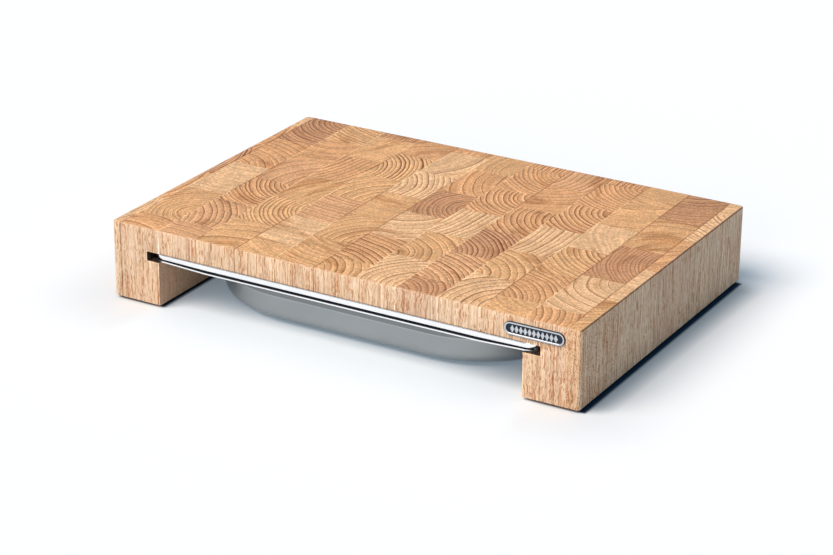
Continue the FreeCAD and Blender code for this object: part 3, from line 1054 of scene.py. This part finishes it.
def on_rim(at, way):
    """Whether a point of the tray lies on the strip round its edge."""
    return abs(at.x) > RIM_HALF[0] - RIM_WIDTH or abs(at.y) > RIM_HALF[1] - RIM_WIDTH


def in_groove(at, way):
    """A face of the groove in the rim: its back, its roof, or the top of the bead."""
    return on_rim(at, way) and GROOVE[0] - 0.1 < at.z < GROOVE[1] + 0.1 and way.z < 0.99


tray.data.materials.append(satin_steel)
finish_faces(tray, polished_steel, on_rim)
finish_faces(tray, groove_painted_shade, in_groove)
print("tray finishes:", tray.data.materials.keys())

# %% [markdown]
# Between the legs, where it need not fit a slot, the roll is drawn down a little, as a grip for the
# fingers. Two cuts at each end make room for the step, and the lower half of the roll moves down.

# %% Draw the roll down between the legs
GRIP_HALF = 114.0
GRIP_STEP = 35.0
GRIP_DROPS = ((40.4, 0.65), (38.2, 0.75))       # what lies below each height is lowered by so much
GRIP_DEPTH = 8.0            # the roll and what is close to it, from the edge inwards
STRAIGHT_RIM = 151.0        # half length of the rim between its corners
WELL_TOP = 30.0             # the well below this stays as it is

for cut_x in (-GRIP_HALF - GRIP_STEP, -GRIP_HALF, GRIP_HALF, GRIP_HALF + GRIP_STEP):
    pick(tray, "faces", lambda at, way: abs(at.y) > RIM_HALF[1] - GRIP_DEPTH and abs(at.x) < STRAIGHT_RIM)
    bpy.ops.mesh.bisect(plane_co=(cut_x * MM, 0, 0), plane_no=(1, 0, 0))
for height, drop_by in GRIP_DROPS:
    lowered = pick(tray, "verts", lambda at, way: abs(at.y) > RIM_HALF[1] - GRIP_DEPTH
                   and abs(at.x) < GRIP_HALF + HAIR and WELL_TOP < at.z < height)
    bpy.ops.transform.translate(value=(0, 0, -drop_by * MM))
    print("lowered", lowered, "points of the roll by", drop_by, "mm")
done()
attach(tray, "tray")
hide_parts("drip_tray")

# %% [markdown]
# ## The badge
# A small plate on the front, with a bright border round a darker field. It carries no name: the
# field has a plain row of lozenges. The outline is a rectangle whose corners are beveled until they
# meet, then it is inset and extruded.

# %% Model the badge
BADGE_MIDDLE = (159.5, -135.0, 52.5)
BADGE_HALF = (23.5, 5.0)
BADGE_THICKNESS = 1.2
BORDER = 1.6
BORDER_ROUNDING = 0.4
FIELD_DROP = 0.5

bpy.ops.object.select_all(action="DESELECT")
bpy.ops.mesh.primitive_plane_add(size=2)
bpy.context.object.scale = (BADGE_HALF[0] * MM, BADGE_HALF[1] * MM, 1)
badge = settle("front_badge")
bpy.ops.object.mode_set(mode="EDIT")
bpy.ops.mesh.select_all(action="SELECT")
bpy.ops.mesh.bevel(offset=BADGE_HALF[1] * MM, segments=14, affect="VERTICES", clamp_overlap=True)
bpy.ops.mesh.select_all(action="SELECT")
bpy.ops.mesh.remove_doubles(threshold=0.02 * MM)
bpy.ops.mesh.select_mode(type="FACE")
bpy.ops.mesh.select_all(action="SELECT")
extrude(0, 0, BADGE_THICKNESS)
bpy.ops.mesh.inset(thickness=BORDER * MM)
extrude(0, 0, -FIELD_DROP)
bpy.ops.mesh.select_all(action="SELECT")
bpy.ops.mesh.normals_make_consistent(inside=False)
done()
pick(badge, "edges", lambda at, way: abs(at.z - BADGE_THICKNESS) < HAIR and abs(way.z) < 0.1)
keep_picked(badge, lambda edge: edge.calc_face_angle(0) > 0.5)
bpy.ops.mesh.bevel(offset=BORDER_ROUNDING * MM, segments=3, affect="EDGES")
done()
print("badge:", len(badge.data.polygons), "faces")

# %% Set the badge in place
take(badge)
badge.rotation_euler = (math.radians(90), 0, 0)
badge.location = Vector(BADGE_MIDDLE) * MM
bpy.ops.object.transform_apply(location=True, rotation=True, scale=True)
bpy.ops.object.shade_smooth_by_angle(angle=math.radians(35))
badge_bright = steel("badge_bright", (0.62, 0.64, 0.67, 1), 0.30, 0.03, 0.3)
badge_dark = steel("badge_dark", (0.035, 0.045, 0.058, 1), 0.45, 0.05, 0.5)
field_y = BADGE_MIDDLE[1] - BADGE_THICKNESS + FIELD_DROP


def field_and_shaded_wall(at, way):
    """The floor of the field, dark in its own colour, and the wall round the plate, painted dark as shade.
    """
    in_field = way.y < -0.9 and abs(at.y - field_y) < 0.05
    from_end = max(abs(at.x - BADGE_MIDDLE[0]) - (BADGE_HALF[0] - BADGE_HALF[1]), 0)
    from_line = math.hypot(from_end, at.z - BADGE_MIDDLE[2])
    return in_field or from_line > BADGE_HALF[1] - BORDER_ROUNDING - 0.02


# painted shade: the wall round the plate gets the dark finish and draws a dark outline
badge.data.materials.append(badge_bright)
finish_faces(badge, badge_dark, field_and_shaded_wall)
print("badge finishes:", badge.data.materials.keys())

# %% Model one lozenge and set the row
LOZENGES = 11
LOZENGE_PITCH = 3.35
LOZENGE_HALF = (1.55, 2.9)
LOZENGE_RISE = 0.45
LOZENGE_RIM = 0.35
LOZENGE_DISH = 0.12


def twin(piece, name, offset):
    """A copy with a mesh of its own, moved by an offset in millimetres."""
    copy = piece.copy()
    copy.data = piece.data.copy()
    copy.name = copy.data.name = name
    scene.collection.objects.link(copy)
    copy.data.transform(Matrix.Translation(Vector(offset) * MM))
    return copy


bpy.ops.object.select_all(action="DESELECT")
bpy.ops.mesh.primitive_cylinder_add(vertices=4, radius=1, depth=1)
bpy.context.object.scale = (LOZENGE_HALF[0] * MM, LOZENGE_HALF[1] * MM, LOZENGE_RISE * MM)
lozenge = settle("lozenge")
pick(lozenge, "faces", lambda at, way: way.z > 0.9)
bpy.ops.mesh.inset(thickness=LOZENGE_RIM * MM)
extrude(0, 0, -LOZENGE_DISH)
done()
lozenge.data.transform(Matrix.Rotation(math.radians(90), 4, "X"))
lozenge.data.materials.append(badge_bright)
row = []
for place in range(LOZENGES):
    across = BADGE_MIDDLE[0] + (place - (LOZENGES - 1) / 2) * LOZENGE_PITCH
    seat = field_y - LOZENGE_RISE / 2 + HAIR
    row.append(twin(lozenge, f"lozenge_{place + 1:02d}", (across, seat, BADGE_MIDDLE[2])))
drop(lozenge)
badge = join_all([badge] + row)
print("badge with its row:", len(badge.data.polygons), "faces")
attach(badge, "board")
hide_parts("badge_plate")

# %% [markdown]
# ## Rubber feet
# Four rubber pads keep the board from sliding. Each is a cylinder with a rounded lower edge and a
# shallow dish underneath.

# %% Model one foot and copy it
FOOT_RADIUS = 8.0
FOOT_HEIGHT = 4.0
FOOT_RIM = 2.6              # of flat rubber round the dish
DISH_DEPTH = 0.7
DISH_TAPER = 0.8
FOOT_ROUNDING = 0.7

foot = new_cylinder("rubber_pad", FOOT_RADIUS, FOOT_HEIGHT, (0, 0, FOOT_HEIGHT / 2))
pick(foot, "faces", lambda at, way: way.z < -0.9)
bpy.ops.mesh.inset(thickness=FOOT_RIM * MM)
extrude(0, 0, DISH_DEPTH)
bpy.ops.transform.resize(value=(DISH_TAPER, DISH_TAPER, 1))
done()
pick(foot, "edges", lambda at, way: at.z < HAIR and math.hypot(at.x, at.y) > FOOT_RADIUS - 0.5)
bpy.ops.mesh.bevel(offset=FOOT_ROUNDING * MM, segments=3, affect="EDGES")
done()
take(foot)
bpy.ops.object.shade_smooth_by_angle(angle=math.radians(35))

rubber = Finish("foot_rubber")
grain = rubber.noise(rubber.millimetres(), 1.5, 3.0)
rubber_tone = rubber.mix(grain.ease(0.3, 0.7), (0.012, 0.012, 0.013, 1), (0.03, 0.03, 0.032, 1))
foot.data.materials.append(rubber.surface({"Base Color": rubber_tone, "Roughness": grain.spread(0.6, 0.8)},
                                          bump=(grain, 0.3, 0.0001)))

for name, (foot_x, foot_y) in FOOT_SPOTS.items():
    pad = twin(foot, f"rubber_pad_{name}", (foot_x, foot_y, 0))
    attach(pad, "board")
    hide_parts(f"rubber_foot_{name}")
drop(foot)
print("rubber feet:", len(FOOT_SPOTS))
